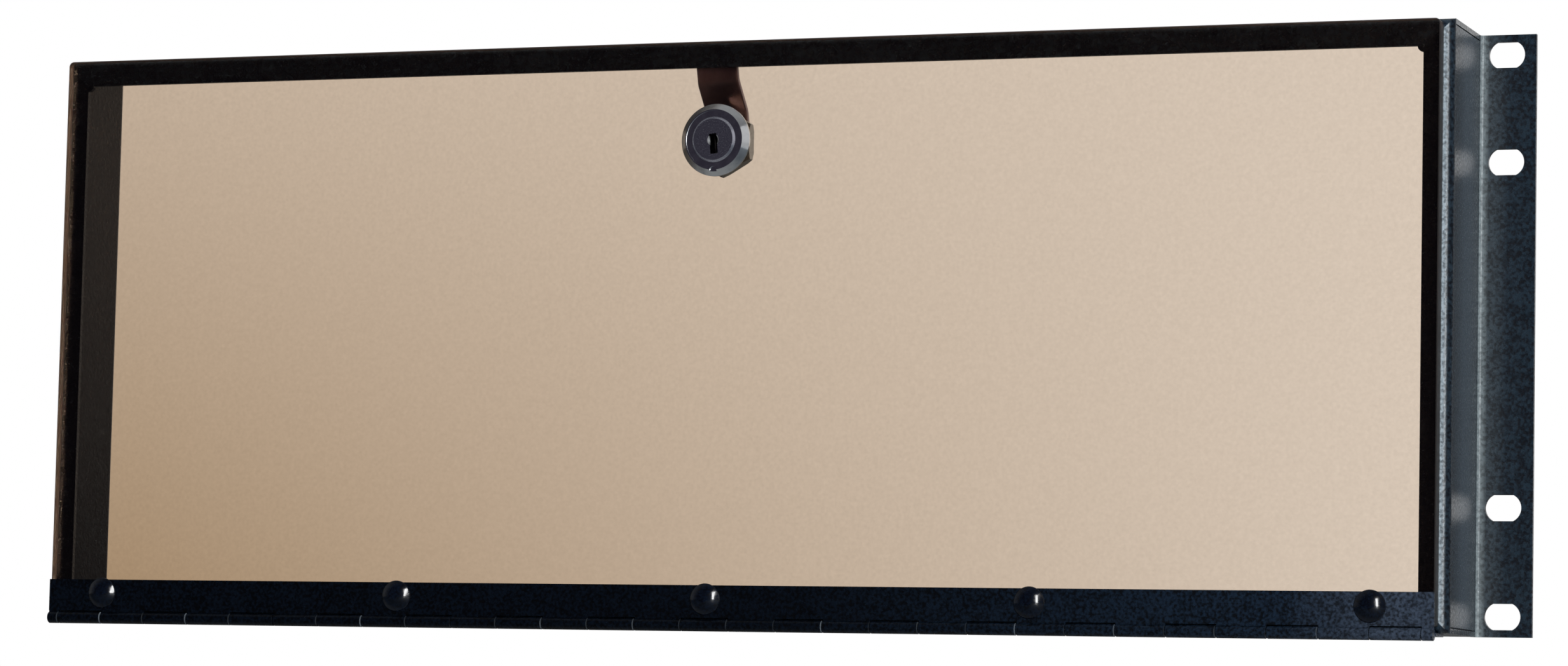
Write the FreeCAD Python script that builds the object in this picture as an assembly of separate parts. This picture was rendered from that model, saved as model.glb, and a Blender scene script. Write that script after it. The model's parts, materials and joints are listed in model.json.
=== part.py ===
import FreeCAD, Part
import math
import os

# Lockable cover for a four-unit 19-inch rack, in millimetres.
# X is the viewer's right, Y runs back into the rack and Z is up.
# The origin is the middle of the hole pattern, on the ears' rear face.

Vec = FreeCAD.Vector

# Rack panel standard
RACK_WIDTH = 482.6
UNIT_HEIGHT = 44.45
UNITS = 4
UNIT_RELIEF = 0.8
SLOT_FROM_EAR_EDGE = 8.75
HOLE_SPAN_X = RACK_WIDTH - 2 * SLOT_FROM_EAR_EDGE
HOLE_FROM_UNIT_EDGE = 6.35
HOLE_STEP = 31.75
SLOT_LENGTH = 10.7
SLOT_HEIGHT = 7.66
SLOT_END_RADIUS = 4.25

# Welded frame of folded sheet
SHEET = 1.5
BEND_INSIDE = 1.0
SLOT_FROM_BODY = 7.75
BODY_WIDTH = HOLE_SPAN_X - 2 * SLOT_FROM_BODY
BODY_DEPTH = 38.1
LIP_SIDE = 8.6
LIP_RAIL = 8.2
RAIL_BACK_EDGE = 3.0
WELD_RADIUS = 1.75
WELD_INSET = 0.1
SEAM_GROOVE = 0.4

# Acrylic door
PANEL_SIDE_REVEAL = 3.0
PANEL_WIDTH = BODY_WIDTH - 2 * PANEL_SIDE_REVEAL
PANEL_THICKNESS = 4.5
PANEL_CORNER = 1.6
PANEL_EDGE_BREAK = 0.3
PANEL_TOP_REVEAL = 0.7
PANEL_BOTTOM_GAP = 0.5
DOOR_GAP = 0.3

# Piano hinge
LEAF = 0.9
LEAF_WIDTH = 12.0
PIN_RADIUS = 0.9
PIN_FIT = 0.05
PIN_INSET = 0.3
FULL_KNUCKLES = 29
CUT_KNUCKLE_LENGTH = 3.575
KNUCKLE_PITCH = (PANEL_WIDTH - 2 * CUT_KNUCKLE_LENGTH) / FULL_KNUCKLES
KNUCKLE_END_GAP = 0.2
KNUCKLE_EDGE_BREAK = 0.15
NOTCH_GAP = 0.35

# Rivets through the door leaf and the acrylic
RIVET_COUNT = 5
RIVET_FROM_PANEL_EDGE = 18.6
RIVET_PITCH = (PANEL_WIDTH - 2 * RIVET_FROM_PANEL_EDGE) / (RIVET_COUNT - 1)
RIVET_FROM_AXIS = 7.8
RIVET_HEAD_RADIUS = 4.75
RIVET_HEAD_HEIGHT = 1.95
RIVET_HEAD_RIM = 0.35
RIVET_HEAD_EDGE = 0.2
RIVET_SHANK_RADIUS = 2.4
RIVET_HOLE_GAP = 0.05
RIVET_TAIL_RADIUS = 3.3
RIVET_TAIL_HEIGHT = 1.4
RIVET_TAIL_EDGE = 0.5
WASHER_RADIUS = 3.75
WASHER_THICKNESS = 0.8
LIP_NOTCH_GAP = 0.75

# Cam lock, set out from the door's front face along its own axis
LOCK_FROM_TOP = 31.0
LOCK_LEAN = 6.5
LOCK_TRAVEL = 90.0
BEZEL_RADIUS = 11.0
BEZEL_EDGE = 0.6
BEZEL_HEIGHT = 2.4
BEZEL_FACE_RADIUS = 9.2
BEZEL_RIM = 0.35
RECESS_DEPTH = 0.2
INDEX_NOTCH_RADIUS = 1.1
INDEX_NOTCH_DEPTH = 0.5
BARREL_RADIUS = 7.95
BARREL_FLAT = 7.0
BARREL_LENGTH = 11.5
BARREL_HOLE_GAP = 0.15
HEAD_RADIUS = 6.95
HEAD_PROUD = 0.45
HEAD_BACK = 0.6
HEAD_CHAMFER = 0.65
PLUG_RADIUS = 5.2
PLUG_FIT = 0.05
PLUG_END_PLAY = 0.1
GROOVE_WIDTH = 4.8
GROOVE_RADIUS = 6.2
KEY_ROUND = 1.8
KEY_DISH_DEPTH = 0.8
KEY_ROUND_DROP = 0.2
KEY_SLOT_WIDTH = 2.4
KEY_SLOT_TOP = 1.75
KEY_SLOT_BOTTOM = 4.4

# Tumbler wafers and their springs, inside the plug
WAFER_COUNT = 5
WAFER_START_DEPTH = 1.6
WAFER_PITCH = 1.6
WAFER_THICKNESS = 0.8
WAFER_HALF_WIDTH = 2.1
WAFER_HALF_HEIGHT = 4.6
WAFER_GAP = 0.05
WINDOW_HALF_WIDTH = 1.4
WINDOW_TOP = 2.4
WINDOW_BOTTOM = 3.6
LUG_LENGTH = 1.4
LUG_BOTTOM = 0.3
LUG_TOP = 1.0
LUG_TRAVEL = 0.5
SPRING_OUT = 3.1
SPRING_RADIUS = 0.4
SPRING_WIRE = 0.12
SPRING_TURNS = 5
SPRING_POCKET_GAP = 0.1
SPRING_FOOT = 3.2

# Nuts, washers, stop plate and cam on the lock
NUT_ACROSS_FLATS = 18.5
NUT_THICKNESS = 4.0
NUT_CORNER_BREAK = 0.9
THREAD_GAP = 0.05
LOCK_WASHER_RADIUS = 9.0
LOCK_WASHER_THICKNESS = 0.8
STOP_THICKNESS = 0.9
STOP_DISC_RADIUS = 6.1
STOP_RING_GAP = 0.2
STOP_TAB_ANGLE = 34.0
STOP_TAB_PLAY = 1.0
DRIVE_RADIUS = 3.9
DRIVE_FLAT = 2.9
DRIVE_GAP = 0.05
DRIVE_SHORT = 0.1
CAM_WIDTH = 13.0
CAM_THICKNESS = 2.2
CAM_BEND_INSIDE = 1.6
CAM_HUB_REACH = 9.7
CAM_CRANK_REACH = 18.7
CAM_LENGTH = 27.3
CAM_TIP_CORNER = 2.2
CAM_EDGE_BREAK = 0.4
CAM_LIP_GAP = 0.7
STUD_RADIUS = 2.95
STUD_PROUD = 0.8
CAM_WASHER_RADIUS = 5.6
CAM_WASHER_THICKNESS = 1.0
CAM_NUT_ACROSS_FLATS = 10.0
CAM_NUT_THICKNESS = 4.6
CAM_NUT_CORNER_BREAK = 0.5

# Places that follow from the sizes above
HALF_HEIGHT = (UNITS * UNIT_HEIGHT - UNIT_RELIEF) / 2
HALF_BODY = BODY_WIDTH / 2
HALF_PANEL = PANEL_WIDTH / 2
BEND_OUTSIDE = BEND_INSIDE + SHEET
FRONT_Y = -BODY_DEPTH
PANEL_BACK_Y = FRONT_Y - DOOR_GAP
PANEL_FRONT_Y = PANEL_BACK_Y - PANEL_THICKNESS
OPENING_X = HALF_BODY - LIP_SIDE
OPENING_Z = HALF_HEIGHT - LIP_RAIL
HINGE_Y = PANEL_FRONT_Y - LEAF / 2
HINGE_Z = -HALF_HEIGHT - LEAF / 2
PIN_BORE = PIN_RADIUS + PIN_FIT
KNUCKLE_RADIUS = PIN_BORE + LEAF
NOTCH_REACH = KNUCKLE_RADIUS + NOTCH_GAP
RIVET_Z = HINGE_Z + RIVET_FROM_AXIS
LEAF_FRONT_Y = PANEL_FRONT_Y - LEAF
WASHER_BACK_Y = PANEL_BACK_Y + WASHER_THICKNESS
PANEL_BOTTOM_Z = HINGE_Z + KNUCKLE_RADIUS + PANEL_BOTTOM_GAP
PANEL_TOP_Z = HALF_HEIGHT - PANEL_TOP_REVEAL
LOCK_Z = HALF_HEIGHT - LOCK_FROM_TOP
LOCK_NUT_FRONT = PANEL_THICKNESS + LOCK_WASHER_THICKNESS
PLUG_END = BARREL_LENGTH + PLUG_END_PLAY
STOP_END = PLUG_END + STOP_THICKNESS
CAM_END = STOP_END + CAM_THICKNESS
CAM_WASHER_END = CAM_END + CAM_WASHER_THICKNESS
CAM_NUT_END = CAM_WASHER_END + CAM_NUT_THICKNESS


# Plain shapes

def block(x0, x1, y0, y1, z0, z1):
    return Part.makeBox(x1 - x0, y1 - y0, z1 - z0, Vec(x0, y0, z0))


def rod_x(radius, x0, x1, y, z):
    return Part.makeCylinder(radius, x1 - x0, Vec(x0, y, z), Vec(1, 0, 0))


def rod_y(radius, y0, y1, x, z):
    return Part.makeCylinder(radius, y1 - y0, Vec(x, y0, z), Vec(0, 1, 0))


def prism(points, sweep):
    outline = Part.makePolygon(points + points[:1])
    return Part.Face(outline).extrude(sweep)


def ring_y(inner, outer, y0, y1, x, z):
    return rod_y(outer, y0, y1, x, z).cut(rod_y(inner, y0, y1, x, z))


def rounded_corner(before, corner, after, radius):
    """Tangent point, middle and tangent point of an arc that rounds a corner."""
    back = (before - corner).normalize()
    ahead = (after - corner).normalize()
    half = back.getAngle(ahead) / 2
    bisector = (back + ahead).normalize()
    centre = corner + bisector * (radius / math.sin(half))
    run = radius / math.tan(half)
    return corner + back * run, centre - bisector * radius, corner + ahead * run


def folded_strip(path, normal, thickness, inside, sweep):
    """Sheet folded along a mid-line path, swept sideways; normal faces out of the section."""
    sides = []
    for hand in (1, -1):
        offset = []
        for i, point in enumerate(path):
            runs = []
            if i > 0:
                runs.append((point - path[i - 1]).normalize())
            if i < len(path) - 1:
                runs.append((path[i + 1] - point).normalize())
            lefts = [normal.cross(run) for run in runs]
            shift = lefts[0]
            if len(lefts) == 2:
                shift = (lefts[0] + lefts[1]) * (1 / (1 + lefts[0].dot(lefts[1])))
            offset.append(point + shift * (hand * thickness / 2))
        sides.append(offset)
    edges = []
    ends = []
    for hand, offset in zip((1, -1), sides):
        last = offset[0]
        for i in range(1, len(offset) - 1):
            turn = normal.dot((path[i] - path[i - 1]).cross(path[i + 1] - path[i]))
            radius = inside if turn * hand > 0 else inside + thickness
            start, middle, stop = rounded_corner(offset[i - 1], offset[i], offset[i + 1], radius)
            edges.append(Part.makeLine(last, start))
            edges.append(Part.Arc(start, middle, stop).toShape())
            last = stop
        edges.append(Part.makeLine(last, offset[-1]))
        ends.append((offset[0], offset[-1]))
    edges.append(Part.makeLine(ends[0][0], ends[1][0]))
    edges.append(Part.makeLine(ends[0][1], ends[1][1]))
    outline = Part.Wire(Part.__sortEdges__(edges))
    return Part.Face(outline).extrude(sweep)


def hexagon(across_flats, y0, y1, x, z):
    """Six-sided bar along Y with a corner at the top."""
    radius = across_flats / math.sqrt(3)
    corners = []
    for i in range(6):
        angle = math.radians(60 * i)
        corners.append(Vec(x + radius * math.sin(angle), y0, z + radius * math.cos(angle)))
    return prism(corners, Vec(0, y1 - y0, 0))


def nut_blank(across_flats, corner_break, y0, y1, x, z):
    """Hexagon bar with its corners turned off at both ends."""
    bar = rod_y(across_flats / math.sqrt(3), y0, y1, x, z)
    rims = [edge for edge in bar.Edges if edge.Closed]
    return hexagon(across_flats, y0, y1, x, z).common(bar.makeChamfer(corner_break, rims))


def save(name, solids):
    shape = solids[0] if len(solids) == 1 else Part.makeCompound(solids)
    shape.exportStep(f"parts/{name}.step")


# Welded frame: two side channels with rack ears, a top rail and a bottom rail

def rack_slot(x, z):
    half_length = SLOT_LENGTH / 2
    half_height = SLOT_HEIGHT / 2
    centre = half_length - SLOT_END_RADIUS
    flat = centre + math.sqrt(SLOT_END_RADIUS ** 2 - half_height ** 2)
    y = -2 * SHEET
    top_left = Vec(x - flat, y, z + half_height)
    top_right = Vec(x + flat, y, z + half_height)
    low_left = Vec(x - flat, y, z - half_height)
    low_right = Vec(x + flat, y, z - half_height)
    edges = [
        Part.makeLine(top_left, top_right),
        Part.Arc(top_right, Vec(x + half_length, y, z), low_right).toShape(),
        Part.makeLine(low_right, low_left),
        Part.Arc(low_left, Vec(x - half_length, y, z), top_left).toShape(),
    ]
    return Part.Face(Part.Wire(edges)).extrude(Vec(0, 3 * SHEET, 0))


def mitre_half(x_side, z_side, keep_side):
    """Wedge cut from one piece where two front bends meet on a 45 degree line."""
    reach = 2 * max(LIP_SIDE, LIP_RAIL)
    corner_x = x_side * HALF_BODY
    corner_z = z_side * HALF_HEIGHT
    inner_x = corner_x - x_side * reach
    inner_z = corner_z - z_side * reach
    third = Vec(inner_x, FRONT_Y, corner_z) if keep_side else Vec(corner_x, FRONT_Y, inner_z)
    outline = [Vec(corner_x, FRONT_Y, corner_z), Vec(inner_x, FRONT_Y, inner_z), third]
    return prism(outline, Vec(0, BEND_OUTSIDE, 0))


def side_channel(x_side):
    lip_y = FRONT_Y + SHEET / 2
    wall_x = x_side * (HALF_BODY - SHEET / 2)
    path = [
        Vec(x_side * OPENING_X, lip_y, -HALF_HEIGHT),
        Vec(wall_x, lip_y, -HALF_HEIGHT),
        Vec(wall_x, -SHEET / 2, -HALF_HEIGHT),
        Vec(x_side * RACK_WIDTH / 2, -SHEET / 2, -HALF_HEIGHT),
    ]
    sweep = Vec(0, 0, 2 * HALF_HEIGHT)
    shape = folded_strip(path, Vec(0, 0, 1), SHEET, BEND_INSIDE, sweep)
    near = min(x_side * OPENING_X, x_side * (HALF_BODY + SHEET))
    far = max(x_side * OPENING_X, x_side * (HALF_BODY + SHEET))
    for z_side in (1, -1):
        shape = shape.cut(mitre_half(x_side, z_side, True))
        low = min(z_side * (HALF_HEIGHT - SHEET), z_side * (HALF_HEIGHT + SHEET))
        high = max(z_side * (HALF_HEIGHT - SHEET), z_side * (HALF_HEIGHT + SHEET))
        rail_end = block(near, far, FRONT_Y + BEND_OUTSIDE, -RAIL_BACK_EDGE, low, high)
        shape = shape.cut(rail_end)
        shape = shape.cut(seam_groove(x_side, z_side))
        shape = shape.fuse(corner_weld(x_side, z_side))
        for row in range(2):
            hole_z = UNITS * UNIT_HEIGHT / 2 - HOLE_FROM_UNIT_EDGE - row * HOLE_STEP
            shape = shape.cut(rack_slot(x_side * HOLE_SPAN_X / 2, z_side * hole_z))
    return shape.removeSplitter()


def seam_groove(x_side, z_side):
    """Small V on the outside, where a rail's end is welded to the side wall."""
    edge_x = x_side * HALF_BODY
    edge_z = z_side * (HALF_HEIGHT - SHEET)
    start = FRONT_Y + BEND_OUTSIDE
    points = [
        Vec(edge_x, start, edge_z),
        Vec(edge_x - x_side * SEAM_GROOVE, start, edge_z),
        Vec(edge_x, start, edge_z - z_side * SEAM_GROOVE),
    ]
    return prism(points, Vec(0, -RAIL_BACK_EDGE - start, 0))


def corner_weld(x_side, z_side):
    """Weld bead that fills the opening's inner corner."""
    bead = rod_y(WELD_RADIUS, FRONT_Y + WELD_INSET, FRONT_Y + SHEET - WELD_INSET,
                 x_side * OPENING_X, z_side * OPENING_Z)
    x0 = min(x_side * OPENING_X, x_side * (OPENING_X - WELD_RADIUS))
    z0 = min(z_side * OPENING_Z, z_side * (OPENING_Z - WELD_RADIUS))
    quarter = block(x0, x0 + WELD_RADIUS, FRONT_Y, FRONT_Y + SHEET, z0, z0 + WELD_RADIUS)
    return bead.common(quarter)


def frame_rail(z_side):
    lip_y = FRONT_Y + SHEET / 2
    wall_z = z_side * (HALF_HEIGHT - SHEET / 2)
    path = [
        Vec(-HALF_BODY, lip_y, z_side * OPENING_Z),
        Vec(-HALF_BODY, lip_y, wall_z),
        Vec(-HALF_BODY, -RAIL_BACK_EDGE, wall_z),
    ]
    shape = folded_strip(path, Vec(1, 0, 0), SHEET, BEND_INSIDE, Vec(BODY_WIDTH, 0, 0))
    for x_side in (1, -1):
        shape = shape.cut(mitre_half(x_side, z_side, False))
    return shape


def rivet_places():
    first = -(RIVET_COUNT - 1) / 2
    return [(first + i) * RIVET_PITCH for i in range(RIVET_COUNT)]


def bottom_rail():
    """The lip is notched so that the rivet tails pass through it as the door closes."""
    shape = frame_rail(-1)
    radius = WASHER_RADIUS + LIP_NOTCH_GAP
    for x in rivet_places():
        shape = shape.cut(rod_y(radius, FRONT_Y, FRONT_Y + SHEET, x, RIVET_Z))
        above = block(x - radius, x + radius, FRONT_Y, FRONT_Y + SHEET, RIVET_Z, RIVET_Z + LIP_RAIL)
        shape = shape.cut(above)
    return shape.removeSplitter()


# Piano hinge: full knuckles in the middle, a cut one at each end

def knuckle_spans(on_frame):
    first = -FULL_KNUCKLES / 2 * KNUCKLE_PITCH
    spans = []
    for i in range(FULL_KNUCKLES):
        if (i % 2 == 0) == on_frame:
            spans.append((first + i * KNUCKLE_PITCH, first + (i + 1) * KNUCKLE_PITCH))
    if not on_frame:
        spans.append((-HALF_PANEL, first))
        spans.append((-first, HALF_PANEL))
    return spans


def knuckle(x0, x1):
    shape = rod_x(KNUCKLE_RADIUS, x0, x1, HINGE_Y, HINGE_Z)
    rims = [edge for edge in shape.Edges if edge.Closed]
    shape = shape.makeChamfer(KNUCKLE_EDGE_BREAK, rims)
    return shape


def hinge_leaf(on_frame):
    half = LEAF / 2
    gap = KNUCKLE_END_GAP / 2
    if on_frame:
        plate = block(-HALF_PANEL, HALF_PANEL, HINGE_Y + NOTCH_REACH, HINGE_Y + LEAF_WIDTH,
                      HINGE_Z - half, HINGE_Z + half)
    else:
        plate = block(-HALF_PANEL, HALF_PANEL, HINGE_Y - half, HINGE_Y + half,
                      HINGE_Z + NOTCH_REACH, HINGE_Z + LEAF_WIDTH)
    pieces = []
    for x0, x1 in knuckle_spans(on_frame):
        left = max(x0 + gap, -HALF_PANEL)
        right = min(x1 - gap, HALF_PANEL)
        pieces.append(knuckle(left, right))
        if on_frame:
            web = block(left, right, HINGE_Y, HINGE_Y + NOTCH_REACH, HINGE_Z - half, HINGE_Z + half)
        else:
            web = block(left, right, HINGE_Y - half, HINGE_Y + half, HINGE_Z, HINGE_Z + NOTCH_REACH)
        pieces.append(web)
    shape = plate.multiFuse(pieces)
    shape = shape.cut(rod_x(PIN_BORE, -HALF_PANEL, HALF_PANEL, HINGE_Y, HINGE_Z))
    if not on_frame:
        for x in rivet_places():
            hole = rod_y(RIVET_SHANK_RADIUS + RIVET_HOLE_GAP, HINGE_Y - LEAF, HINGE_Y + LEAF, x, RIVET_Z)
            shape = shape.cut(hole)
    return shape.removeSplitter()


def hinge_pin():
    return rod_x(PIN_RADIUS, -HALF_PANEL + PIN_INSET, HALF_PANEL - PIN_INSET, HINGE_Y, HINGE_Z)


# Acrylic door and its rivets

def lock_barrel(radius, flat, y0, y1):
    """Round bar with a flat on each side, which keeps the lock from turning in the door."""
    bar = rod_y(radius, y0, y1, 0, LOCK_Z)
    return bar.common(block(-flat, flat, y0, y1, LOCK_Z - radius, LOCK_Z + radius))


def door_panel():
    shape = block(-HALF_PANEL, HALF_PANEL, PANEL_FRONT_Y, PANEL_BACK_Y, PANEL_BOTTOM_Z, PANEL_TOP_Z)
    corners = []
    for edge in shape.Edges:
        middle = edge.CenterOfMass
        if abs(middle.z - PANEL_TOP_Z) < 0.01 and abs(abs(middle.x) - HALF_PANEL) < 0.01:
            corners.append(edge)
    shape = shape.makeFillet(PANEL_CORNER, corners)
    rims = []
    for edge in shape.Edges:
        box = edge.BoundBox
        if box.YLength < 0.01 and box.ZMax > PANEL_BOTTOM_Z + PANEL_EDGE_BREAK:
            rims.append(edge)
    shape = shape.makeChamfer(PANEL_EDGE_BREAK, rims)
    shape = shape.cut(lock_barrel(BARREL_RADIUS + BARREL_HOLE_GAP, BARREL_FLAT + BARREL_HOLE_GAP,
                                  PANEL_FRONT_Y, PANEL_BACK_Y))
    for x in rivet_places():
        hole = rod_y(RIVET_SHANK_RADIUS + RIVET_HOLE_GAP, PANEL_FRONT_Y, PANEL_BACK_Y, x, RIVET_Z)
        shape = shape.cut(hole)
    return shape


def door_rivet(x):
    """Rivet turned from one outline, given as distances from its axis and depths."""
    dome_radius = RIVET_HEAD_RADIUS - RIVET_HEAD_EDGE
    dome_height = RIVET_HEAD_HEIGHT - RIVET_HEAD_RIM
    dome_base = LEAF_FRONT_Y - RIVET_HEAD_RIM
    ball_radius = (dome_radius ** 2 + dome_height ** 2) / (2 * dome_height)
    half_turn = math.asin(dome_radius / ball_radius) / 2
    tail_end = WASHER_BACK_Y + RIVET_TAIL_HEIGHT
    outline = [
        (dome_radius, dome_base),
        (RIVET_HEAD_RADIUS, dome_base + RIVET_HEAD_EDGE),
        (RIVET_HEAD_RADIUS, LEAF_FRONT_Y),
        (RIVET_SHANK_RADIUS, LEAF_FRONT_Y),
        (RIVET_SHANK_RADIUS, WASHER_BACK_Y),
        (RIVET_TAIL_RADIUS, WASHER_BACK_Y),
        (RIVET_TAIL_RADIUS, tail_end - RIVET_TAIL_EDGE),
        (RIVET_TAIL_RADIUS - RIVET_TAIL_EDGE, tail_end),
        (0, tail_end),
        (0, dome_base - dome_height),
    ]
    points = [Vec(x + radius, y, RIVET_Z) for radius, y in outline]
    on_dome = Vec(x + ball_radius * math.sin(half_turn),
                  dome_base - dome_height + ball_radius * (1 - math.cos(half_turn)), RIVET_Z)
    edges = [Part.makeLine(first, second) for first, second in zip(points, points[1:])]
    edges.append(Part.Arc(points[-1], on_dome, points[0]).toShape())
    return Part.Face(Part.Wire(edges)).revolve(Vec(x, 0, RIVET_Z), Vec(0, 1, 0), 360)


def rivet_washer(x):
    hole = RIVET_SHANK_RADIUS + RIVET_HOLE_GAP
    return ring_y(hole, WASHER_RADIUS, PANEL_BACK_Y, WASHER_BACK_Y, x, RIVET_Z)


# Cam lock: depths are measured back from the door's front face

def depth(back):
    return PANEL_FRONT_Y + back


def turned(profile):
    """Lathe-turned shape round the lock's axis, from points of radius and depth."""
    outline = [Vec(radius, depth(back), LOCK_Z) for radius, back in profile]
    face = Part.Face(Part.makePolygon(outline + outline[:1]))
    return face.revolve(Vec(0, 0, LOCK_Z), Vec(0, 1, 0), 360)


def lock_block(x0, x1, back0, back1, up0, up1):
    return block(x0, x1, depth(back0), depth(back1), LOCK_Z + up0, LOCK_Z + up1)


def lock_rod(radius, back0, back1, up=0):
    return rod_y(radius, depth(back0), depth(back1), 0, LOCK_Z + up)


def sector(start, stop, radius, back0, back1):
    """Pie slice round the lock's axis; angles run clockwise from the top, seen from the front."""
    steps = math.ceil((stop - start) / 15)
    points = [Vec(0, depth(back0), LOCK_Z)]
    for i in range(steps + 1):
        angle = math.radians(start + (stop - start) * i / steps)
        points.append(Vec(radius * math.sin(angle), depth(back0), LOCK_Z + radius * math.cos(angle)))
    return prism(points, Vec(0, back1 - back0, 0))


def lean(shape):
    """Turn a piece of the plug to where the locked cam stands."""
    turned_shape = shape.copy()
    turned_shape.rotate(Vec(0, 0, LOCK_Z), Vec(0, 1, 0), -LOCK_LEAN)
    return turned_shape


def lock_housing():
    plug_bore = PLUG_RADIUS + PLUG_FIT
    head_bore = HEAD_RADIUS + PLUG_FIT
    pocket = HEAD_BACK + PLUG_END_PLAY
    recess = -BEZEL_HEIGHT + RECESS_DEPTH
    shape = turned([
        (head_bore, recess),
        (BEZEL_FACE_RADIUS - BEZEL_RIM, recess),
        (BEZEL_FACE_RADIUS - BEZEL_RIM, -BEZEL_HEIGHT),
        (BEZEL_FACE_RADIUS, -BEZEL_HEIGHT),
        (BEZEL_RADIUS, -BEZEL_EDGE),
        (BEZEL_RADIUS, 0),
        (BARREL_RADIUS, 0),
        (BARREL_RADIUS, STOP_END),
        (STOP_DISC_RADIUS + STOP_RING_GAP, STOP_END),
        (STOP_DISC_RADIUS + STOP_RING_GAP, BARREL_LENGTH),
        (plug_bore, BARREL_LENGTH),
        (plug_bore, pocket),
        (head_bore, pocket),
    ])
    for hand in (1, -1):
        near = min(hand * BARREL_FLAT, hand * 2 * BARREL_RADIUS)
        far = max(hand * BARREL_FLAT, hand * 2 * BARREL_RADIUS)
        shape = shape.cut(lock_block(near, far, 0, 2 * STOP_END, -BARREL_RADIUS, BARREL_RADIUS))
    groove_end = WAFER_START_DEPTH + WAFER_COUNT * WAFER_PITCH
    half = GROOVE_WIDTH / 2
    upright = lock_block(-half, half, WAFER_START_DEPTH, groove_end, -GROOVE_RADIUS, GROOVE_RADIUS)
    across = lock_block(-GROOVE_RADIUS, GROOVE_RADIUS, WAFER_START_DEPTH, groove_end, -half, half)
    shape = shape.cut(upright.fuse(across))
    notch_end = INDEX_NOTCH_DEPTH - BEZEL_HEIGHT
    notch = lock_rod(INDEX_NOTCH_RADIUS, -BEZEL_HEIGHT, notch_end, -BEZEL_FACE_RADIUS)
    shape = shape.cut(notch)
    start = 180 - LOCK_LEAN - STOP_TAB_ANGLE / 2 - STOP_TAB_PLAY
    stop = start + LOCK_TRAVEL + STOP_TAB_ANGLE + 2 * STOP_TAB_PLAY
    shape = shape.cut(sector(start, stop, 2 * BARREL_RADIUS, BARREL_LENGTH, 2 * STOP_END))
    return shape.removeSplitter()


def lock_washer():
    return ring_y(BARREL_RADIUS + BARREL_HOLE_GAP, LOCK_WASHER_RADIUS,
                  depth(PANEL_THICKNESS), depth(LOCK_NUT_FRONT), 0, LOCK_Z)


def lock_nut():
    end = LOCK_NUT_FRONT + NUT_THICKNESS
    shape = nut_blank(NUT_ACROSS_FLATS, NUT_CORNER_BREAK, depth(LOCK_NUT_FRONT), depth(end), 0, LOCK_Z)
    return shape.cut(lock_rod(BARREL_RADIUS + THREAD_GAP, LOCK_NUT_FRONT, end))


def drive_bar(gap, back0, back1):
    bar = lock_rod(DRIVE_RADIUS + gap, back0, back1)
    flat = DRIVE_FLAT + gap
    reach = DRIVE_RADIUS + gap
    return bar.common(lock_block(-flat, flat, back0, back1, -reach, reach))


def wafer_places():
    return [WAFER_START_DEPTH + i * WAFER_PITCH for i in range(WAFER_COUNT)]


def lock_plug():
    face = -BEZEL_HEIGHT - HEAD_PROUD
    shape = turned([
        (0, face),
        (HEAD_RADIUS - HEAD_CHAMFER, face),
        (HEAD_RADIUS, face + HEAD_CHAMFER),
        (HEAD_RADIUS, HEAD_BACK),
        (PLUG_RADIUS, HEAD_BACK),
        (PLUG_RADIUS, PLUG_END),
        (0, PLUG_END),
    ])
    shape = shape.fuse(drive_bar(0, PLUG_END, CAM_END - DRIVE_SHORT))
    shape = shape.fuse(lock_rod(STUD_RADIUS, CAM_END - DRIVE_SHORT, CAM_NUT_END + STUD_PROUD))
    key_end = WAFER_START_DEPTH + WAFER_COUNT * WAFER_PITCH
    half = KEY_SLOT_WIDTH / 2
    dish_front = Vec(0, depth(face), LOCK_Z - KEY_ROUND_DROP)
    shape = shape.cut(Part.makeCone(KEY_ROUND, half, KEY_DISH_DEPTH, dish_front, Vec(0, 1, 0)))
    shape = shape.cut(lock_block(-half, half, face, key_end, -KEY_SLOT_BOTTOM, KEY_SLOT_TOP))
    wide = WAFER_HALF_WIDTH + WAFER_GAP
    lug_end = WAFER_HALF_WIDTH + LUG_LENGTH + WAFER_GAP
    pocket_radius = SPRING_RADIUS + SPRING_WIRE + SPRING_POCKET_GAP
    pocket_length = SPRING_FOOT + LUG_TOP + LUG_TRAVEL
    for back in wafer_places():
        near = back - WAFER_GAP
        far = back + WAFER_THICKNESS + WAFER_GAP
        middle = depth(back + WAFER_THICKNESS / 2)
        shape = shape.cut(lock_block(-wide, wide, near, far, -PLUG_RADIUS, PLUG_RADIUS))
        shape = shape.cut(lock_block(0, lug_end, near, far, LUG_BOTTOM - LUG_TRAVEL, LUG_TOP + LUG_TRAVEL))
        pocket_foot = Vec(SPRING_OUT, middle, LOCK_Z - SPRING_FOOT)
        shape = shape.cut(Part.makeCylinder(pocket_radius, pocket_length, pocket_foot, Vec(0, 0, 1)))
    return lean(shape.removeSplitter())


def tumbler_wafer(back):
    """Plate that slides in the plug; a side lug rests on its spring."""
    far = back + WAFER_THICKNESS
    plate = lock_block(-WAFER_HALF_WIDTH, WAFER_HALF_WIDTH, back, far,
                       -WAFER_HALF_HEIGHT, WAFER_HALF_HEIGHT)
    lug = lock_block(0, WAFER_HALF_WIDTH + LUG_LENGTH, back, far, LUG_BOTTOM, LUG_TOP)
    window = lock_block(-WINDOW_HALF_WIDTH, WINDOW_HALF_WIDTH, back, far, -WINDOW_BOTTOM, WINDOW_TOP)
    return lean(plate.fuse(lug).cut(window).removeSplitter())


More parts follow.
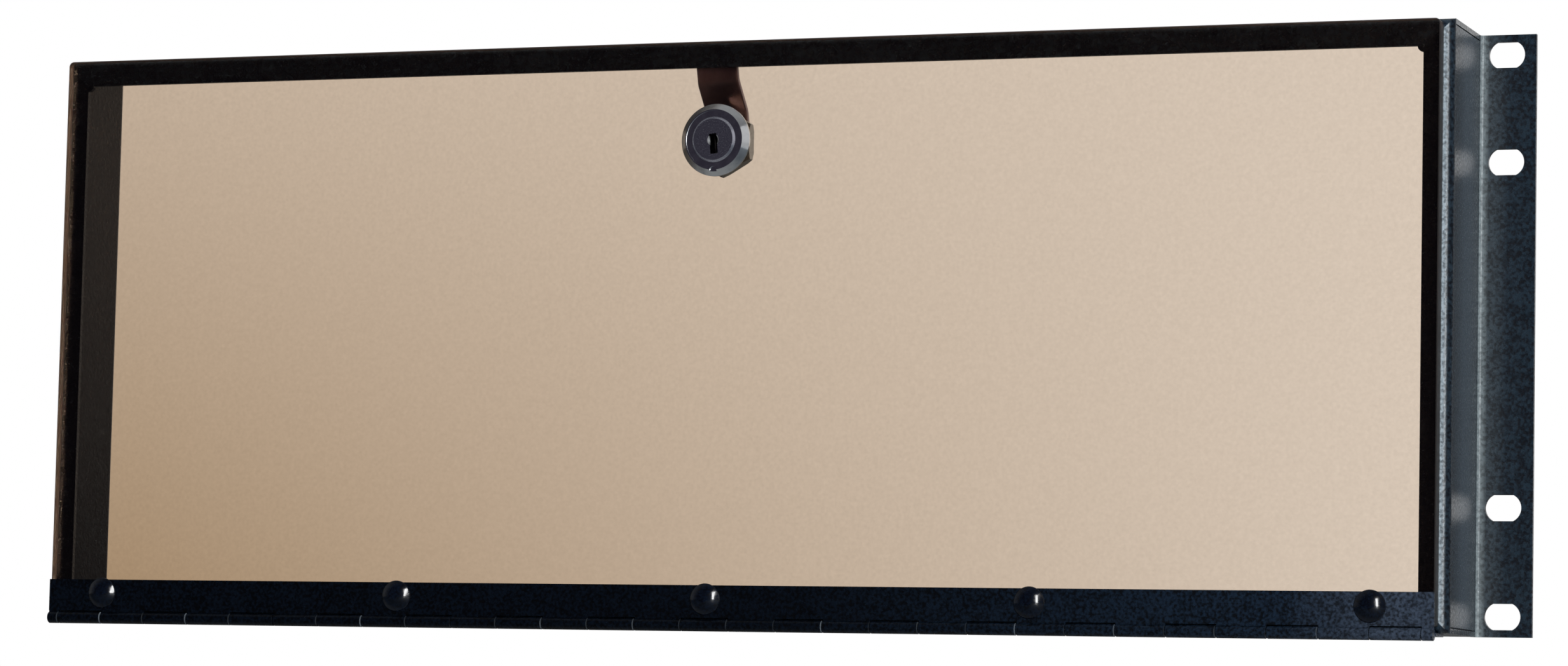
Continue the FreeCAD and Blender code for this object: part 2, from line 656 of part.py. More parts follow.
def wafer_spring(back):
    """Coil that stands in the plug and pushes up on the wafer's lug."""
    height = SPRING_FOOT + LUG_BOTTOM - 2 * SPRING_WIRE
    pitch = height / SPRING_TURNS
    helix = Part.makeHelix(pitch, height, SPRING_RADIUS)
    wire_end = Part.Circle(Vec(SPRING_RADIUS, 0, 0), Vec(0, 1, 0), SPRING_WIRE).toShape()
    coil = Part.Wire(helix).makePipeShell([Part.Wire([wire_end])], True, True)
    foot = LOCK_Z - SPRING_FOOT + SPRING_WIRE
    coil.translate(Vec(SPRING_OUT, depth(back + WAFER_THICKNESS / 2), foot))
    return lean(coil)


def stop_plate():
    """Keyed to the plug; its tab meets the ends of the gap in the barrel's rear ring."""
    middle = 180
    disc = lock_rod(STOP_DISC_RADIUS, PLUG_END, STOP_END)
    tab = lock_rod(BARREL_RADIUS, PLUG_END, STOP_END)
    half = STOP_TAB_ANGLE / 2
    tab = tab.common(sector(middle - half, middle + half, 2 * BARREL_RADIUS, PLUG_END, STOP_END))
    shape = disc.fuse(tab).cut(drive_bar(DRIVE_GAP, PLUG_END, STOP_END))
    return lean(shape.removeSplitter())


def lock_cam():
    hub = depth(STOP_END + CAM_THICKNESS / 2)
    hook = FRONT_Y + SHEET + CAM_LIP_GAP + CAM_THICKNESS / 2
    half = CAM_WIDTH / 2
    path = [
        Vec(-half, hub, LOCK_Z - half),
        Vec(-half, hub, LOCK_Z + CAM_HUB_REACH),
        Vec(-half, hook, LOCK_Z + CAM_CRANK_REACH),
        Vec(-half, hook, LOCK_Z + CAM_LENGTH),
    ]
    strip = folded_strip(path, Vec(1, 0, 0), CAM_THICKNESS, CAM_BEND_INSIDE, Vec(CAM_WIDTH, 0, 0))
    tips = []
    for edge in strip.Edges:
        middle = edge.CenterOfMass
        if abs(middle.z - LOCK_Z - CAM_LENGTH) < 0.01 and abs(abs(middle.x) - half) < 0.01:
            tips.append(edge)
    strip = strip.makeFillet(CAM_TIP_CORNER, tips)
    sides = []
    for edge in strip.Edges:
        box = edge.BoundBox
        along_side = box.XLength < 0.01 and box.ZLength > 0.01
        if along_side and box.ZMin > LOCK_Z and abs(abs(box.XMin) - half) < 0.01:
            sides.append(edge)
    strip = strip.makeChamfer(CAM_EDGE_BREAK, sides)
    near = STOP_END
    far = CAM_END
    square_end = lock_block(-half, half, near, far, -half, 0)
    round_end = lock_rod(half, near, far)
    strip = strip.cut(square_end.cut(round_end))
    return lean(strip.cut(drive_bar(DRIVE_GAP, near, far)).removeSplitter())


def cam_washer():
    hole = STUD_RADIUS + THREAD_GAP
    return ring_y(hole, CAM_WASHER_RADIUS, depth(CAM_END), depth(CAM_WASHER_END), 0, LOCK_Z)


def cam_nut():
    shape = nut_blank(CAM_NUT_ACROSS_FLATS, CAM_NUT_CORNER_BREAK,
                      depth(CAM_WASHER_END), depth(CAM_NUT_END), 0, LOCK_Z)
    shape = shape.cut(lock_rod(STUD_RADIUS + THREAD_GAP, CAM_WASHER_END, CAM_NUT_END))
    return lean(shape)


os.makedirs("parts", exist_ok=True)
save("side_channel_left", [side_channel(-1)])
save("side_channel_right", [side_channel(1)])
save("top_rail", [frame_rail(1)])
save("bottom_rail", [bottom_rail()])
save("hinge_frame_leaf", [hinge_leaf(True)])
save("hinge_door_leaf", [hinge_leaf(False)])
save("hinge_pin", [hinge_pin()])
save("door_panel", [door_panel()])
save("door_rivets", [door_rivet(x) for x in rivet_places()])
save("rivet_washers", [rivet_washer(x) for x in rivet_places()])
save("lock_housing", [lock_housing()])
save("lock_washer", [lock_washer()])
save("lock_nut", [lock_nut()])
save("lock_plug", [lock_plug()])
save("tumbler_wafers", [tumbler_wafer(back) for back in wafer_places()])
save("wafer_springs", [wafer_spring(back) for back in wafer_places()])
save("stop_plate", [stop_plate()])
save("lock_cam", [lock_cam()])
save("cam_washer", [cam_washer()])
save("cam_nut", [cam_nut()])
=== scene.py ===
import json
import math

import bpy
from mathutils import Matrix, Vector


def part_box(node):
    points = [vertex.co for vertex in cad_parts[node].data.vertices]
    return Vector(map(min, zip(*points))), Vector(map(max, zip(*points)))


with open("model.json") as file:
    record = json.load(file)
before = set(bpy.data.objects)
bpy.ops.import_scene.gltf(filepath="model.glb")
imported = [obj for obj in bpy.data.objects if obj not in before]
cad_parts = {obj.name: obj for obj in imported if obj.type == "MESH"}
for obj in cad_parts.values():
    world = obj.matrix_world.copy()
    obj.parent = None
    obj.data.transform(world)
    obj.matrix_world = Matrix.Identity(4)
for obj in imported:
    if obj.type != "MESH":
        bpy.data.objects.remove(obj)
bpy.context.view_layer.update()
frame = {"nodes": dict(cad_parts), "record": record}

scene = bpy.context.scene
nodes = frame["nodes"]


# ---------------------------------------------------------------- node helpers

GRAIN_ROUGHNESS = 0.55
NOISE_REACH = (0.3, 0.7)


def put(tree, kind, props=None, **sockets):
    """Adds a shader node, sets its properties and its unlinked sockets."""
    made = tree.nodes.new(kind)
    for key, value in (props or {}).items():
        setattr(made, key, value)
    set_sockets(made, **sockets)
    return made


def set_sockets(made, **sockets):
    for key, value in sockets.items():
        made.inputs[key.replace("_", " ")].default_value = value


def new_material(name):
    mat = bpy.data.materials.new(name)
    mat.use_nodes = True
    return mat, mat.node_tree, mat.node_tree.nodes["Principled BSDF"]


def grain(tree, scale, detail=3.0):
    """Noise in the part's own metres."""
    noise = put(tree, "ShaderNodeTexNoise", Scale=scale, Detail=detail, Roughness=GRAIN_ROUGHNESS)
    tree.links.new(put(tree, "ShaderNodeTexCoord").outputs["Object"], noise.inputs["Vector"])
    return noise.outputs["Fac"]


def spread(tree, value, low, high, to_low=0.0, to_high=1.0):
    """Maps a value from low..high to to_low..to_high, and no further."""
    ranged = put(tree, "ShaderNodeMapRange", From_Min=low, From_Max=high, To_Min=to_low, To_Max=to_high)
    tree.links.new(value, ranged.inputs["Value"])
    return ranged.outputs["Result"]


def blend_colours(tree, factor, first, second):
    """Mixes two colours; either may be a fixed colour or a link."""
    mix = put(tree, "ShaderNodeMix", {"data_type": "RGBA"})
    tree.links.new(factor, mix.inputs["Factor"])
    for socket, colour in ((mix.inputs[6], first), (mix.inputs[7], second)):
        if isinstance(colour, tuple):
            socket.default_value = (*colour, 1.0)
        else:
            tree.links.new(colour, socket)
    return mix.outputs[2]


def maths(tree, operation, *values):
    """Works on values, each a fixed number or a link."""
    made = put(tree, "ShaderNodeMath", {"operation": operation})
    for socket, value in zip(made.inputs, values):
        if isinstance(value, float):
            socket.default_value = value
        else:
            tree.links.new(value, socket)
    return made.outputs["Value"]


def product(tree, first, *others):
    """All the values multiplied."""
    for value in others:
        first = maths(tree, "MULTIPLY", first, value)
    return first


def length_of(tree, first, second):
    """The length of a line with these two legs."""
    return maths(tree, "SQRT", maths(tree, "MULTIPLY_ADD", first, first, product(tree, second, second)))


def split(tree, output):
    """The x, y and z of one of the texture coordinates."""
    axes = put(tree, "ShaderNodeSeparateXYZ")
    tree.links.new(put(tree, "ShaderNodeTexCoord").outputs[output], axes.inputs["Vector"])
    return axes.outputs["X"], axes.outputs["Y"], axes.outputs["Z"]


def place_axes(tree):
    """The x, y and z of a point in the part's own metres."""
    return split(tree, "Object")


def above(tree, value, limit):
    """1 where a value is over the limit, else 0."""
    return maths(tree, "GREATER_THAN", value, limit)


def below(tree, value, limit):
    """1 where a value is under the limit, else 0."""
    return maths(tree, "LESS_THAN", value, limit)


def between(tree, value, low, high):
    """1 where a value lies between low and high, else 0."""
    return product(tree, above(tree, value, low), below(tree, value, high))


def bump(tree, shader, height, distance):
    made = put(tree, "ShaderNodeBump", Strength=1.0, Distance=distance)
    tree.links.new(height, made.inputs["Height"])
    tree.links.new(made.outputs["Normal"], shader.inputs["Normal"])


# ---------------------------------------------------------------- paint

BROAD_SCALE = 0.22
BROAD_SHARE = 0.18
PAINT_TONES = (0.40, 0.60)
PAINT_GLOSS_SWING = 0.3


def textured_paint(name, dark, light, scale, rough, height, shine=0.5, accents=(), dull=None):
    """Stoved paint with a fine orange-peel grain.

    Each accent gives a mask and the colour to use there; dull gives a mask of places with less shine."""
    mat, tree, shader = new_material(name)
    set_sockets(shader, Specular_IOR_Level=shine)
    if dull:
        tree.links.new(spread(tree, dull(tree), 0.0, 1.0, shine, 0.0), shader.inputs["Specular IOR Level"])
    fine = grain(tree, scale)
    broad = grain(tree, scale * BROAD_SCALE, detail=2.0)
    both = maths(tree, "MULTIPLY_ADD", broad, BROAD_SHARE, product(tree, fine, 1.0 - BROAD_SHARE))
    tone = spread(tree, both, *PAINT_TONES)
    colour = blend_colours(tree, tone, dark, light)
    for accent in accents:
        mask, tint = accent(tree, tone)
        colour = blend_colours(tree, mask, colour, tint)
    tree.links.new(colour, shader.inputs["Base Color"])
    gloss = spread(tree, fine, *NOISE_REACH, rough * (1.0 + PAINT_GLOSS_SWING), rough * (1.0 - PAINT_GLOSS_SWING))
    tree.links.new(gloss, shader.inputs["Roughness"])
    bump(tree, shader, both, height)
    return mat


def grainy(tree, tone, low, high):
    """A factor that follows the paint's grain from low to high."""
    return spread(tree, tone, 0.0, 1.0, low, high)


# Places on a side channel, in metres from the middle of the part.
WALL_X = 0.2248
WALL_INSIDE_X = 0.22345
WALL_MIDDLE_Y = -0.0175
WALL_HALF_HEIGHT = 0.08
EAR_FRONT_Y = -0.0015
BEND_X = 0.2223
BEND_BACK_Y = -0.0365
FACE_MARGIN = 0.00002

LIP_EDGE_X = BEND_X - 0.0005
# Painted shade on the lips behind the door: how strong it is and its colour.
LIP_SHADE_AMOUNT = 0.7
LIP_SHADE_COLOUR = (0.0003, 0.0003, 0.0005)

DULL_TOP, DULL_BOTTOM = 0.5, 0.85
# Warmer colour for the inner faces of the walls, more of it higher up.
INNER_WARM_COLOUR = (0.022, 0.019, 0.018)

# Painted highlight along the front bend of a side channel: where it starts, peaks and ends, its grain and its
# colour.
BEND_HIGHLIGHT_START_X = BEND_X - 0.0007
BEND_HIGHLIGHT_PEAK_X = BEND_X - 0.0004
BEND_HIGHLIGHT_END_X = BEND_X + 0.0013
BEND_HIGHLIGHT_GRAIN = (0.38, 1.12)
BEND_HIGHLIGHT_COLOUR = (0.31, 0.375, 0.42)

# Painted sheen along the middle of a wall's outer face.
WALL_SHEEN_REACH = (0.004, 0.017)
WALL_SHEEN_AMOUNT = (0.85, 0.15)
WALL_SHEEN_COLOUR = (0.041, 0.058, 0.078)

# Painted highlight where an ear leaves its wall: strong in the corner, with a weaker tail across the ear.
CORNER_GLOW_WIDTH, CORNER_GLOW_AMOUNT = 0.0027, 0.75
TAIL_GLOW_WIDTH, TAIL_GLOW_AMOUNT = 0.0085, 0.15
ROOT_Y = (EAR_FRONT_Y - 0.003, EAR_FRONT_Y + 0.0003)
ROOT_GRAIN = (0.65, 1.25)
ROOT_GLOW_COLOUR = (0.185, 0.220, 0.232)


def shaded_lips(tree, tone):
    """Painted shade: a darker colour on the lips behind the door."""
    x, y, _ = place_axes(tree)
    lip = below(tree, maths(tree, "ABSOLUTE", x), LIP_EDGE_X)
    return product(tree, lip, below(tree, y, BEND_BACK_Y), LIP_SHADE_AMOUNT), LIP_SHADE_COLOUR


def inner_walls(tree):
    """1 on the inner faces of the walls, else 0; with the height."""
    x, y, z = place_axes(tree)
    inner = below(tree, maths(tree, "ABSOLUTE", x), WALL_INSIDE_X)
    return product(tree, inner, above(tree, y, BEND_BACK_Y)), z


def dull_inside(tree):
    """Flatter coat on the inner faces of the walls, more so lower down."""
    inner, z = inner_walls(tree)
    return product(tree, inner, spread(tree, z, WALL_HALF_HEIGHT, -WALL_HALF_HEIGHT, DULL_TOP, DULL_BOTTOM))


def warm_inside_walls(tree, tone):
    """Warmer colour on the inner faces of the walls, more of it higher up."""
    inner, z = inner_walls(tree)
    return product(tree, inner, spread(tree, z, -WALL_HALF_HEIGHT, WALL_HALF_HEIGHT)), INNER_WARM_COLOUR


def bend_highlight(tree, tone):
    """Painted highlight, pale and grainy, along the front bend of a side channel."""
    x, y, _ = place_axes(tree)
    across = maths(tree, "ABSOLUTE", x)
    rise = spread(tree, across, BEND_HIGHLIGHT_START_X, BEND_HIGHLIGHT_PEAK_X)
    fall = spread(tree, across, BEND_HIGHLIGHT_PEAK_X, BEND_HIGHLIGHT_END_X, 1.0, 0.0)
    front = below(tree, y, BEND_BACK_Y)
    return product(tree, rise, fall, front, grainy(tree, tone, *BEND_HIGHLIGHT_GRAIN)), BEND_HIGHLIGHT_COLOUR


def wall_sheen(tree, tone):
    """Painted sheen: a paler colour along the middle of a wall's outer face."""
    x, y, _ = place_axes(tree)
    outer = above(tree, maths(tree, "ABSOLUTE", x), WALL_X - FACE_MARGIN)
    off_middle = maths(tree, "ABSOLUTE", maths(tree, "SUBTRACT", y, WALL_MIDDLE_Y))
    sheen = spread(tree, off_middle, *WALL_SHEEN_REACH, *WALL_SHEEN_AMOUNT)
    return product(tree, outer, below(tree, y, EAR_FRONT_Y), sheen), WALL_SHEEN_COLOUR


def root_glow(tree, tone):
    """Painted highlight, pale and grainy, along the inner corner where an ear leaves its wall."""
    x, y, _ = place_axes(tree)
    across = maths(tree, "ABSOLUTE", x)
    corner = spread(tree, across, WALL_X, WALL_X + CORNER_GLOW_WIDTH, CORNER_GLOW_AMOUNT, 0.0)
    tail = spread(tree, across, WALL_X, WALL_X + TAIL_GLOW_WIDTH, TAIL_GLOW_AMOUNT, 0.0)
    ear = product(tree, above(tree, across, WALL_X + FACE_MARGIN), between(tree, y, *ROOT_Y))
    amount = product(tree, maths(tree, "ADD", corner, tail), grainy(tree, tone, *ROOT_GRAIN))
    return product(tree, amount, ear), ROOT_GLOW_COLOUR


# The hinge: knuckles come in pairs, one of each leaf, and a rim is given as a share of a pair.
FIRST_KNUCKLE_X = -0.218225
KNUCKLE_PAIR = 0.0301
KNUCKLE_FRONT_Y = -0.0438
FIRST_RIM = (0.4895, 0.4975)
SECOND_RIM = (0.9905, 0.9975)
SECOND_RIM_AMOUNT = 0.25
# Rubbed-through paint and painted highlights on the knuckles' right-hand rims.
WEAR_AND_GLINT_SCALE = 45.0
WEAR_AND_GLINT_TONES = (0.42, 0.60)
WEAR_AND_GLINT_HALF_WIDTH = 0.2
WEAR_AND_GLINT_AT_RIGHT = 0.5
BARE_STEEL_AND_GLINT = (0.105, 0.125, 0.145)

# Painted light on the hinge, growing towards the right.
LIT_RIGHT_X = (0.03, 0.18)
LIT_RIGHT_AMOUNT = 0.10
LIT_RIGHT_GRAIN = (0.2, 1.6)
LIT_RIGHT_COLOUR = (0.031, 0.064, 0.120)

# Dust and painted light on the right end of the hinge, growing towards the right.
END_DUST_AND_LIGHT_X = (0.178, 0.208)
END_DUST_AND_LIGHT_AMOUNT = 0.33
END_DUST_AND_LIGHT_GRAIN = (0.35, 1.45)
HINGE_DUST_AND_LIGHT_COLOUR = (0.056, 0.073, 0.105)


def knuckle_end_wear_and_glints(tree, tone):
    """Paint rubbed through, and a painted highlight, on the rim at the right end of each knuckle."""
    x, y, _ = place_axes(tree)
    pairs = maths(tree, "DIVIDE", maths(tree, "SUBTRACT", x, FIRST_KNUCKLE_X), KNUCKLE_PAIR)
    share = maths(tree, "FRACT", pairs)
    second = product(tree, between(tree, share, *SECOND_RIM), SECOND_RIM_AMOUNT)
    rim = maths(tree, "ADD", between(tree, share, *FIRST_RIM), second)
    patchy = spread(tree, grain(tree, WEAR_AND_GLINT_SCALE, detail=1.0), *WEAR_AND_GLINT_TONES)
    towards_right = spread(tree, x, -WEAR_AND_GLINT_HALF_WIDTH, WEAR_AND_GLINT_HALF_WIDTH, 1.0, WEAR_AND_GLINT_AT_RIGHT)
    return product(tree, rim, below(tree, y, KNUCKLE_FRONT_Y), patchy, towards_right), BARE_STEEL_AND_GLINT


def lit_right_half(tree, tone):
    """Painted light: the paint lighter, bluer and grainy towards the right of the hinge."""
    x, _, _ = place_axes(tree)
    amount = spread(tree, x, *LIT_RIGHT_X, 0.0, LIT_RIGHT_AMOUNT)
    return product(tree, amount, grainy(tree, tone, *LIT_RIGHT_GRAIN)), LIT_RIGHT_COLOUR


def dust_and_light_end(tree, tone):
    """Dust and painted light on the right end of the hinge."""
    x, _, _ = place_axes(tree)
    amount = spread(tree, x, *END_DUST_AND_LIGHT_X, 0.0, END_DUST_AND_LIGHT_AMOUNT)
    return product(tree, amount, grainy(tree, tone, *END_DUST_AND_LIGHT_GRAIN)), HINGE_DUST_AND_LIGHT_COLOUR


# ---------------------------------------------------------------- metal

METAL_TONES = (0.35, 0.65)
METAL_GLOSS_SWING = 0.25

LOCK_Z = 0.0575
DISH_Z = LOCK_Z - 0.0002
DISH_RADIUS = 0.00185
KEYWAY_RADIUS = 0.0047
FACE_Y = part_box("lock_plug")[0][1]
DISH_BACK_Y = FACE_Y + 0.0009
KEYWAY_Y = (FACE_Y + 0.0003, FACE_Y + 0.0100)
FROSTED_COLOUR = (0.92, 0.93, 0.94)
FROSTED_ROUGHNESS = 0.36
# Painted shade for the walls inside the keyway.
KEYWAY_SHADE_COLOUR = (0.045, 0.045, 0.050)


def metal(name, dark, light, scale, rough, height, frosted=None, shade_mask=None):
    """Plated or polished metal with faint marks, with painted shade or frost where a mask asks for it."""
    mat, tree, shader = new_material(name)
    set_sockets(shader, Metallic=1.0)
    marks = grain(tree, scale, detail=4.0)
    colour = blend_colours(tree, spread(tree, marks, *METAL_TONES), dark, light)
    gloss = spread(tree, marks, *NOISE_REACH, rough * (1.0 - METAL_GLOSS_SWING), rough * (1.0 + METAL_GLOSS_SWING))
    # Painted shade where the mask asks for it.
    if shade_mask:
        colour = blend_colours(tree, shade_mask(tree), colour, KEYWAY_SHADE_COLOUR)
    if frosted:
        mask = frosted(tree)
        colour = blend_colours(tree, mask, colour, FROSTED_COLOUR)
        gloss = maths(tree, "MAXIMUM", gloss, product(tree, mask, FROSTED_ROUGHNESS))
    tree.links.new(colour, shader.inputs["Base Color"])
    tree.links.new(gloss, shader.inputs["Roughness"])
    bump(tree, shader, marks, height)
    return mat


def key_dish(tree):
    """1 in the ground dish of the keyhole, else 0."""
    x, y, z = place_axes(tree)
    reach = length_of(tree, x, maths(tree, "SUBTRACT", z, DISH_Z))
    return product(tree, below(tree, reach, DISH_RADIUS), below(tree, y, DISH_BACK_Y))


def shaded_keyway(tree):
    """1 on the walls of the keyway, which take painted shade, else 0."""
    x, y, z = place_axes(tree)
    reach = length_of(tree, x, maths(tree, "SUBTRACT", z, LOCK_Z))
    return product(tree, below(tree, reach, KEYWAY_RADIUS), between(tree, y, *KEYWAY_Y))


# ---------------------------------------------------------------- acrylic

WHITE = (1.0, 1.0, 1.0)
ACRYLIC_IOR = 1.49
ACRYLIC_ABSORB = 170.7
ACRYLIC_COLOUR = (0.655, 0.435, 0.185)
ACRYLIC_SHINE = 0.5
SPECKLE_SCALE = 900.0
SPECKLE_COLOUR = (0.915, 0.91, 0.905)
HAZE_ROUGHNESS = 0.012
EDGE_FACING = 0.9
SAWN_EDGE_SHINE = 0.1
SAWN_EDGE_ROUGHNESS = 0.5
SAWN_EDGE_COLOUR = (0.42, 0.29, 0.28)


def acrylic(name):
    """Smoked bronze acrylic: the tint is in its depth, and its sawn edges are rough and dark."""
    mat, tree, shader = new_material(name)
    set_sockets(shader, Transmission_Weight=1.0, IOR=ACRYLIC_IOR)
    speckle = grain(tree, SPECKLE_SCALE, detail=2.0)
    clear = blend_colours(tree, spread(tree, speckle, *NOISE_REACH), SPECKLE_COLOUR, WHITE)
    _, facing, _ = split(tree, "Normal")
    edge = below(tree, maths(tree, "ABSOLUTE", facing), EDGE_FACING)
    tree.links.new(blend_colours(tree, edge, clear, SAWN_EDGE_COLOUR), shader.inputs["Base Color"])
    shine = spread(tree, edge, 0.0, 1.0, ACRYLIC_SHINE, SAWN_EDGE_SHINE)
    tree.links.new(shine, shader.inputs["Specular IOR Level"])
    haze = spread(tree, speckle, *NOISE_REACH, 0.0, HAZE_ROUGHNESS)
    rough = maths(tree, "MAXIMUM", haze, product(tree, edge, SAWN_EDGE_ROUGHNESS))
    tree.links.new(rough, shader.inputs["Roughness"])
    depth = put(tree, "ShaderNodeVolumeAbsorption", Color=(*ACRYLIC_COLOUR, 1.0), Density=ACRYLIC_ABSORB)
    tree.links.new(depth.outputs["Volume"], tree.nodes["Material Output"].inputs["Volume"])
    return mat


# ---------------------------------------------------------------- which look goes where

looks = {
    "black_paint": textured_paint("frame_paint", (0.0004, 0.0020, 0.0055), (0.015, 0.026, 0.038),
                                  scale=650.0, rough=0.25, height=0.00022),
    "hinge_paint": textured_paint("hinge_paint", (0.0002, 0.0004, 0.001), (0.0018, 0.0034, 0.0068),
                                  scale=1000.0, rough=0.28, height=0.00009, shine=0.17,
                                  accents=(knuckle_end_wear_and_glints, lit_right_half, dust_and_light_end)),
    "black_rivet": textured_paint("rivet_paint", (0.0006, 0.0009, 0.002), (0.002, 0.004, 0.009),
                                  scale=1500.0, rough=0.15, height=0.000005, shine=0.45),
    "smoked_acrylic": acrylic("smoked_acrylic"),
    "lock_chrome": metal("polished_chrome", (0.76, 0.77, 0.78), (0.86, 0.87, 0.88),
                         scale=380.0, rough=0.14, height=0.000045),
    "plain_steel": metal("zinc_plate", (0.44, 0.44, 0.42), (0.60, 0.60, 0.58),
                         scale=900.0, rough=0.34, height=0.00001),
    "yellow_zinc": metal("yellow_zinc", (0.27, 0.19, 0.21), (0.35, 0.25, 0.28),
                         scale=160.0, rough=0.36, height=0.000002),
    # The wafers' brass is made far darker than brass: painted shade inside the keyway.
    "wafer_brass": metal("wafer_brass", (0.09, 0.075, 0.055), (0.14, 0.115, 0.085),
                         scale=900.0, rough=0.30, height=0.00001),
}
channel_paint = textured_paint("channel_paint", (0.0003, 0.0015, 0.0042), (0.0105, 0.0190, 0.0285),
                               scale=1050.0, rough=0.30, height=0.00013, shine=0.24,
                               accents=(shaded_lips, warm_inside_walls, bend_highlight, wall_sheen, root_glow),
                               dull=dull_inside)
own_looks = {
    "side_channel_left": channel_paint,
    "side_channel_right": channel_paint,
    "lock_plug": metal("satin_chrome", (0.58, 0.58, 0.66), (0.64, 0.64, 0.72),
                       scale=2600.0, rough=0.23, height=0.0000004, frosted=key_dish, shade_mask=shaded_keyway),
    "lock_nut": metal("nut_steel", (0.34, 0.34, 0.33), (0.48, 0.48, 0.47),
                      scale=900.0, rough=0.34, height=0.00001),
}
slot_of = {part["node"]: part["material_slot"] for part in frame["record"]["subparts"]}
for name, item in nodes.items():
    item.data.materials.clear()
    item.data.materials.append(own_looks.get(name) or looks[slot_of[name]])


# ---------------------------------------------------------------- world, lamps, floor

# Limits on a direction's x, y or z, between which one colour passes into the next.
SHADE_X = (-0.21, -0.47)
SHADE_Z = (0.15, 0.03)
SHADE_AT_TOP = 0.40
BEHIND_Y = (0.70, 1.0)
BESIDE_Y = (-0.60, -0.10)
ROOM_FRONT = (0.026, 0.023, 0.034)
ROOM_SIDE = (0.26, 0.265, 0.27)
BACKDROP_WARM = (0.555, 0.455, 0.335)
UNBOUNCED = 0.5


def straight_through(tree, path):
    """1 for a ray that has only passed through the acrylic, else 0."""
    bounces = maths(tree, "ADD", path.outputs["Diffuse Depth"], path.outputs["Glossy Depth"])
    return product(tree, path.outputs["Is Transmission Ray"], below(tree, bounces, UNBOUNCED))


def make_world():
    """White paper behind, grey to the sides, a dark room in front.

    The paper darkens to the lower left, which shows through the acrylic in the photograph."""
    world = bpy.data.worlds.new("studio")
    world.use_nodes = True
    tree = world.node_tree
    x, y, z = split(tree, "Generated")
    leftward = spread(tree, x, *SHADE_X)
    downward = spread(tree, z, *SHADE_Z, SHADE_AT_TOP, 1.0)
    shade = product(tree, leftward, downward, above(tree, y, 0.0))
    backdrop = blend_colours(tree, shade, WHITE, BACKDROP_WARM)
    room = blend_colours(tree, spread(tree, y, *BESIDE_Y), ROOM_FRONT, ROOM_SIDE)
    room = blend_colours(tree, spread(tree, y, *BEHIND_Y), room, backdrop)
    path = put(tree, "ShaderNodeLightPath")
    seen = blend_colours(tree, straight_through(tree, path), room, backdrop)
    seen = blend_colours(tree, path.outputs["Is Camera Ray"], seen, WHITE)
    tree.links.new(seen, tree.nodes["Background"].inputs["Color"])
    scene.world = world


def area_lamp(name, place, aim, width, height, power, reflected=True):
    lamp = bpy.data.lights.new(name, "AREA")
    lamp.shape = "RECTANGLE"
    lamp.size, lamp.size_y = width, height
    lamp.energy = power
    holder = bpy.data.objects.new(name, lamp)
    holder.location = place
    holder.rotation_euler = (Vector(aim) - Vector(place)).to_track_quat("-Z", "Y").to_euler()
    holder.visible_camera = False
    holder.visible_glossy = reflected
    scene.collection.objects.link(holder)


FLOOR_Z = -0.32
FLOOR_HALF = 12.0
FLOOR_CORNERS = ((-1, -1), (1, -1), (1, 1), (-1, 1))
FLOOR_GRAIN = 40.0
FLOOR_DARK = (0.80, 0.80, 0.80)
FLOOR_LIGHT = (0.83, 0.83, 0.83)
FLOOR_ROUGHNESS = 0.9
FLOOR_AHEAD_Y = (-0.25, -0.10)
FLOOR_BELOW = (0.33, 0.34, 0.34)
FLOOR_AHEAD = (0.06, 0.075, 0.09)
FLOOR_FADE = (0.55, 1.35)


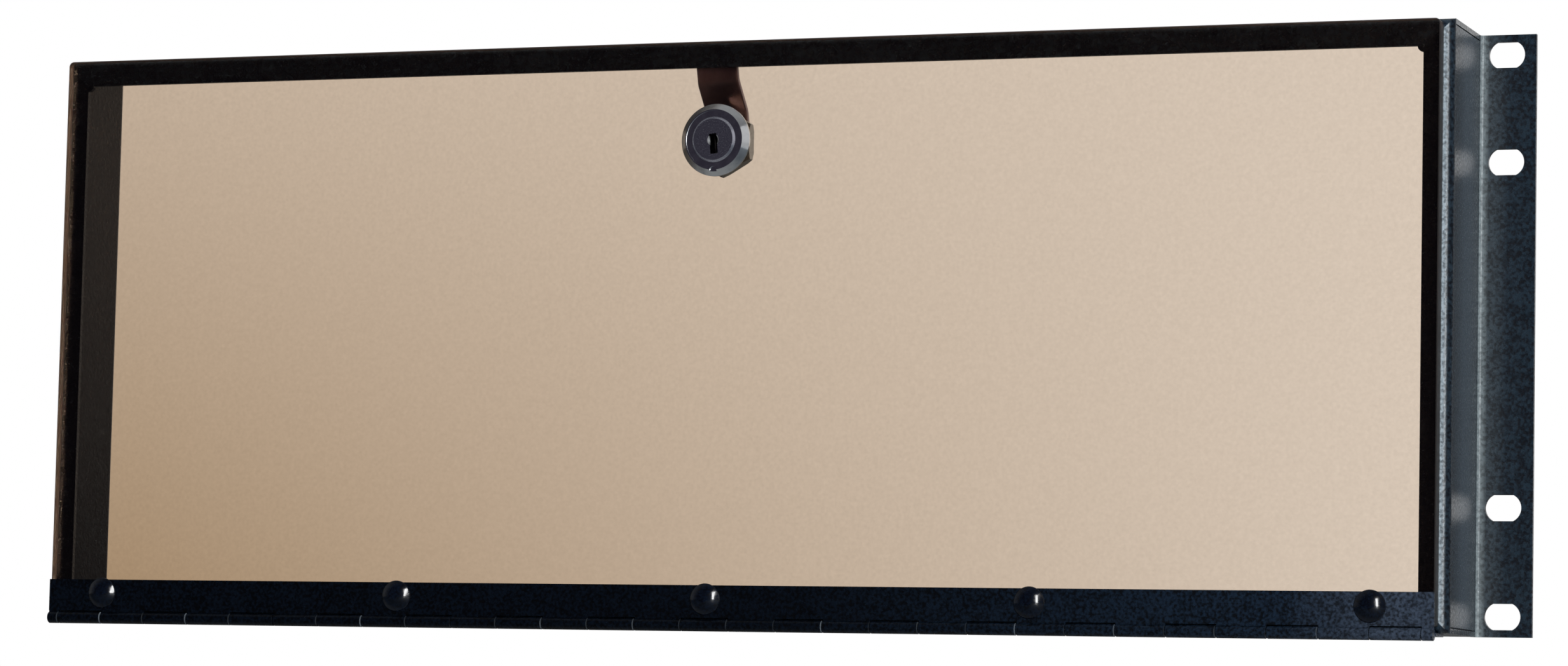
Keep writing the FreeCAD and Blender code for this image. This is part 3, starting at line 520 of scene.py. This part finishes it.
def make_floor():
    """Pale paper that keeps the part's shadow and, further off, is seen as the white background.

    Reflections show it darker, and darker still ahead of the part, as the photograph's metal does."""
    mesh = bpy.data.meshes.new("floor")
    corners = [(x * FLOOR_HALF, y * FLOOR_HALF, FLOOR_Z) for x, y in FLOOR_CORNERS]
    mesh.from_pydata(corners, [], [(0, 1, 2, 3)])
    floor = bpy.data.objects.new("floor", mesh)
    scene.collection.objects.link(floor)
    mat, tree, shader = new_material("floor_paper")
    x, y, _ = place_axes(tree)
    path = put(tree, "ShaderNodeLightPath")
    paper = blend_colours(tree, spread(tree, grain(tree, FLOOR_GRAIN), *NOISE_REACH), FLOOR_DARK, FLOOR_LIGHT)
    reflected = blend_colours(tree, spread(tree, y, *FLOOR_AHEAD_Y), FLOOR_AHEAD, FLOOR_BELOW)
    paper = blend_colours(tree, path.outputs["Is Glossy Ray"], paper, reflected)
    tree.links.new(paper, shader.inputs["Base Color"])
    set_sockets(shader, Roughness=FLOOR_ROUGHNESS)
    looked_at = maths(tree, "MAXIMUM", path.outputs["Is Camera Ray"], straight_through(tree, path))
    far = spread(tree, length_of(tree, x, y), *FLOOR_FADE)
    white = put(tree, "ShaderNodeEmission", Color=(*WHITE, 1.0), Strength=1.0)
    mix = put(tree, "ShaderNodeMixShader")
    tree.links.new(product(tree, looked_at, far), mix.inputs["Fac"])
    tree.links.new(shader.outputs["BSDF"], mix.inputs[1])
    tree.links.new(white.outputs["Emission"], mix.inputs[2])
    tree.links.new(mix.outputs["Shader"], tree.nodes["Material Output"].inputs["Surface"])
    mat.cycles.emission_sampling = "NONE"
    mesh.materials.append(mat)


make_world()
make_floor()
area_lamp("key_right", (1.25, -2.14, 0.62), (0.0, 0.0, 0.0), width=0.42, height=1.85, power=74.0)
area_lamp("side_right", (1.29, -0.53, 0.32), (0.1, 0.0, 0.0), width=0.22, height=1.35, power=0.36)
area_lamp("fill_top", (-0.25, -0.95, 1.85), (0.0, 0.0, 0.0), width=1.2, height=0.8, power=5.0, reflected=False)


# ---------------------------------------------------------------- camera

PHOTO_WIDTH = 2467
FOCAL_PIXELS = 7530.15
SENSOR_WIDTH = 36.0
CAMERA_PLACE = (0.518946, -1.382645, -0.123524)
CAMERA_YAW = 20.308
CAMERA_PITCH = 4.894
CAMERA_ROLL = 1.235


def make_camera():
    """The photograph's camera, solved from the rack slots, the door's edges and the lock."""
    yaw, pitch, roll = (math.radians(v) for v in (CAMERA_YAW, CAMERA_PITCH, CAMERA_ROLL))
    ahead = Vector((-math.sin(yaw) * math.cos(pitch), math.cos(yaw) * math.cos(pitch), math.sin(pitch)))
    level = Vector((math.cos(yaw), math.sin(yaw), 0.0))
    upright = level.cross(ahead)
    right = math.cos(roll) * level + math.sin(roll) * upright
    up = math.cos(roll) * upright - math.sin(roll) * level
    data = bpy.data.cameras.new("camera")
    data.sensor_width = SENSOR_WIDTH
    data.sensor_fit = "HORIZONTAL"
    data.lens = FOCAL_PIXELS * SENSOR_WIDTH / PHOTO_WIDTH
    camera = bpy.data.objects.new("camera", data)
    turn = Matrix((right, up, -ahead)).transposed().to_4x4()
    camera.matrix_world = Matrix.Translation(CAMERA_PLACE) @ turn
    scene.collection.objects.link(camera)
    scene.camera = camera


make_camera()
scene.view_settings.view_transform = "Standard"

bpy.context.view_layer.update()
